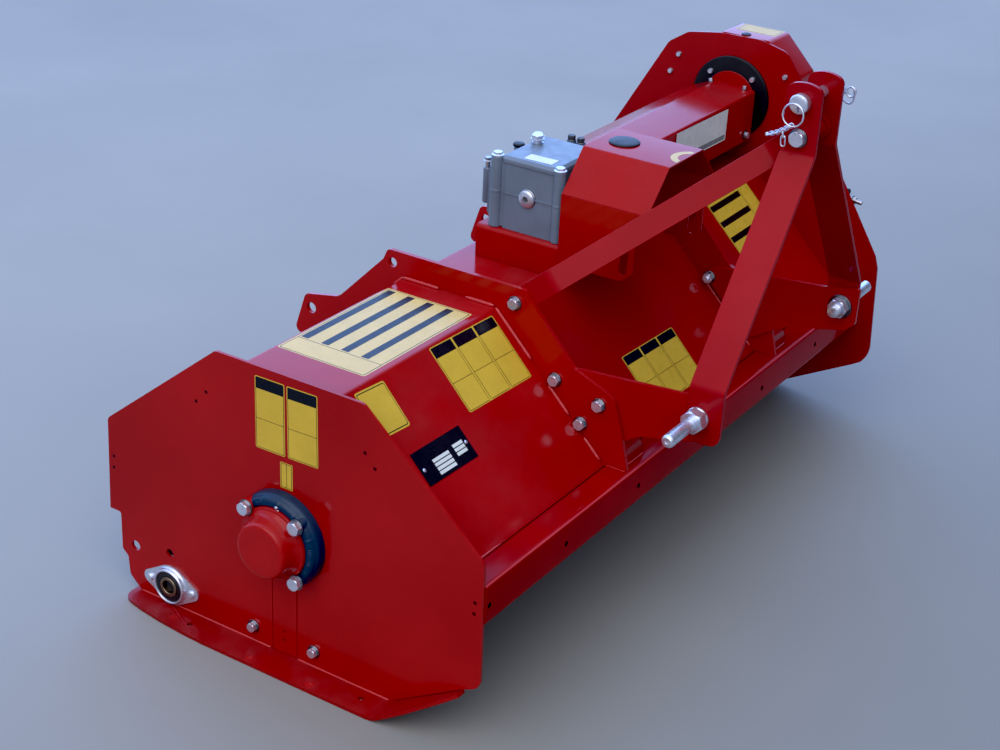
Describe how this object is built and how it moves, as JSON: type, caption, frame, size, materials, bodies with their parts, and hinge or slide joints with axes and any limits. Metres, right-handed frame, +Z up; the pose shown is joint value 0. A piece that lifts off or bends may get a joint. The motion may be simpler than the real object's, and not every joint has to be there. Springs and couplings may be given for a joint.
{
  "type": "tractor mulcher",
  "caption": "Flail mower for a three-point hitch: folded hood, drum rotor with swinging hammers, gearbox and belt drive, skids and rear roller.",
  "frame": {"origin": "centre of the footprint, on the ground the skids stand on", "axes": "+X along the rotor from the plain end to the belt drive, -Y towards the tractor, +Z up"},
  "size_m": [1.526, 0.9104, 0.903],
  "materials": {
    "red_paint": "gloss",
    "grey_cast": "painted satin",
    "zinc_plated": "zinc plated",
    "black_polymer": "matte",
    "belt_rubber": "matte",
    "navy_polymer": "satin",
    "machined_steel": "machined",
    "forged_steel": "forged"
  },
  "bodies": {
    "frame": {"hood_shell": "red_paint", "front_beam": "red_paint", "right_end_plate": "red_paint", "left_end_plate": "red_paint", "shaft_slot_cover": "red_paint", "right_skid": "red_paint", "left_skid": "red_paint", "right_rib": "red_paint", "left_rib": "red_paint", "right_lower_bracket": "red_paint", "left_lower_bracket": "red_paint", "right_mast_strut": "red_paint", "left_mast_strut": "red_paint", "right_mast_brace": "red_paint", "left_mast_brace": "red_paint", "right_hitch_pin": "zinc_plated", "left_hitch_pin": "zinc_plated", "right_hitch_pin_nut": "zinc_plated", "left_hitch_pin_nut": "zinc_plated", "clevis_bolt": "zinc_plated", "clevis_nut": "zinc_plated", "clevis_spacer": "red_paint", "gearbox_base": "red_paint", "gearbox_housing": "grey_cast", "gearbox_cover": "grey_cast", "breather_plug": "zinc_plated", "level_plug": "zinc_plated", "pto_guard": "red_paint", "pto_guard_plug": "black_polymer", "cross_shaft_guard": "red_paint", "drive_flange_ring": "black_polymer", "belt_cover": "red_paint", "drive_belt": "belt_rubber", "right_bearing_housing": "red_paint", "left_bearing_housing": "forged_steel", "half_ring_guard": "navy_polymer", "right_roller_bearing": "zinc_plated", "left_roller_bearing": "zinc_plated"},
    "rotor": {"rotor": "red_paint", "lower_pulley": "forged_steel"},
    "cross_drive": {"cross_shaft": "machined_steel", "output_pinion": "machined_steel", "upper_pulley": "forged_steel"},
    "input_drive": {"input_shaft": "machined_steel", "input_bevel_gear": "machined_steel"},
    "tensioner": {"tensioner_arm": "zinc_plated"},
    "idler": {"tension_pulley": "forged_steel"},
    "roller": {"roller": "red_paint"},
    "top_pin": {"top_link_pin": "zinc_plated"},
    "linchpin": {"linchpin": "zinc_plated"},
    "hammer_01": {"hammer_01": "forged_steel"},
    "hammer_02": {"hammer_02": "forged_steel"},
    "hammer_03": {"hammer_03": "forged_steel"},
    "hammer_04": {"hammer_04": "forged_steel"},
    "hammer_05": {"hammer_05": "forged_steel"},
    "hammer_06": {"hammer_06": "forged_steel"},
    "hammer_07": {"hammer_07": "forged_steel"},
    "hammer_08": {"hammer_08": "forged_steel"},
    "hammer_09": {"hammer_09": "forged_steel"},
    "hammer_10": {"hammer_10": "forged_steel"}
  },
  "joints": [
    {"name": "rotor_spin", "type": "hinge", "parent": "frame", "child": "rotor", "pos_m": [-0.702, 0.0812, 0.226], "axis": [1, 0, 0], "continuous": true},
    {"name": "hammer_01_swing", "type": "hinge", "parent": "rotor", "child": "hammer_01", "pos_m": [-0.62, -0.0038, 0.226], "axis": [1, 0, 0], "range_deg": [-210, 30]},
    {"name": "hammer_02_swing", "type": "hinge", "parent": "rotor", "child": "hammer_02", "pos_m": [-0.486, 0.1662, 0.226], "axis": [1, 0, 0], "range_deg": [-30, 210]},
    {"name": "hammer_03_swing", "type": "hinge", "parent": "rotor", "child": "hammer_03", "pos_m": [-0.352, -0.0038, 0.226], "axis": [1, 0, 0], "range_deg": [-210, 30]},
    {"name": "hammer_04_swing", "type": "hinge", "parent": "rotor", "child": "hammer_04", "pos_m": [-0.218, 0.1662, 0.226], "axis": [1, 0, 0], "range_deg": [-30, 210]},
    {"name": "hammer_05_swing", "type": "hinge", "parent": "rotor", "child": "hammer_05", "pos_m": [-0.084, -0.0038, 0.226], "axis": [1, 0, 0], "range_deg": [-210, 30]},
    {"name": "hammer_06_swing", "type": "hinge", "parent": "rotor", "child": "hammer_06", "pos_m": [0.05, 0.1662, 0.226], "axis": [1, 0, 0], "range_deg": [-30, 210]},
    {"name": "hammer_07_swing", "type": "hinge", "parent": "rotor", "child": "hammer_07", "pos_m": [0.184, -0.0038, 0.226], "axis": [1, 0, 0], "range_deg": [-210, 30]},
    {"name": "hammer_08_swing", "type": "hinge", "parent": "rotor", "child": "hammer_08", "pos_m": [0.318, 0.1662, 0.226], "axis": [1, 0, 0], "range_deg": [-30, 210]},
    {"name": "hammer_09_swing", "type": "hinge", "parent": "rotor", "child": "hammer_09", "pos_m": [0.452, -0.0038, 0.226], "axis": [1, 0, 0], "range_deg": [-210, 30]},
    {"name": "hammer_10_swing", "type": "hinge", "parent": "rotor", "child": "hammer_10", "pos_m": [0.586, 0.1662, 0.226], "axis": [1, 0, 0], "range_deg": [-30, 210]},
    {"name": "cross_shaft_spin", "type": "hinge", "parent": "frame", "child": "cross_drive", "pos_m": [-0.002, 0.0392, 0.618], "axis": [1, 0, 0], "continuous": true},
    {"name": "input_shaft_spin", "type": "hinge", "parent": "frame", "child": "input_drive", "pos_m": [-0.034, -0.0448, 0.618], "axis": [0, 1, 0], "continuous": true},
    {"name": "roller_spin", "type": "hinge", "parent": "frame", "child": "roller", "pos_m": [-0.002, 0.3212, 0.0428], "axis": [1, 0, 0], "continuous": true},
    {"name": "tensioner_swing", "type": "hinge", "parent": "frame", "child": "tensioner", "pos_m": [0.678, 0.14575, 0.38254], "axis": [1, 0, 0], "range_deg": [-12, 0]},
    {"name": "idler_spin", "type": "hinge", "parent": "tensioner", "child": "idler", "pos_m": [0.715, 0.14575, 0.42854], "axis": [1, 0, 0], "continuous": true},
    {"name": "top_pin_play", "type": "slide", "parent": "frame", "child": "top_pin", "axis": [-1, 0, 0], "range_m": [0, 0.007]},
    {"name": "linchpin_pull", "type": "slide", "parent": "top_pin", "child": "linchpin", "axis": [0, -1, 0], "range_m": [0, 0.05]}
  ],
  "couplings": [
    {"joint": "cross_shaft_spin", "follows": "rotor_spin", "ratio": 0.8209},
    {"joint": "input_shaft_spin", "follows": "rotor_spin", "ratio": 0.3284},
    {"joint": "idler_spin", "follows": "rotor_spin", "ratio": -2.75}
  ]
}
